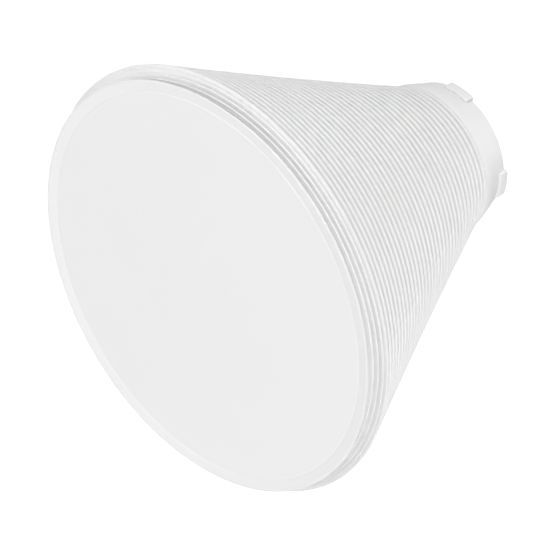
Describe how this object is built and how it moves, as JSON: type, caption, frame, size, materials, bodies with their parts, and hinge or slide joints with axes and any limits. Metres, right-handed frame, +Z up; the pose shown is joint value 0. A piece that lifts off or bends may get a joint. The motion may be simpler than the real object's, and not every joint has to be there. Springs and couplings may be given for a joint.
{
  "type": "horn antenna",
  "caption": "Conical horn antenna with a ribbed white shell, a flat round radome, an aluminium horn inside and a bayonet collar round a round waveguide port",
  "frame": {"origin": "centre of the rear mating plane of the bayonet collar, on the horn's axis", "axes": "the horn's axis lies along Y, the horn opens towards -Y and mates towards +Y, +Z is up"},
  "size_m": [0.246, 0.1924, 0.246],
  "materials": {
    "white_shell": "moulded white plastic, fine satin",
    "white_radome": "moulded white plastic, satin",
    "seal_rubber": "black rubber",
    "horn_aluminium": "bare aluminium, spun and turned",
    "screw_steel": "stainless steel"
  },
  "bodies": {
    "root": {"flare_shell": "white_shell", "radome": "white_radome", "radome_seal": "seal_rubber", "inner_horn": "horn_aluminium", "port_ring": "horn_aluminium", "port_seal": "seal_rubber", "rear_collar": "white_shell", "collar_screws": "screw_steel"}
  },
  "joints": []
}
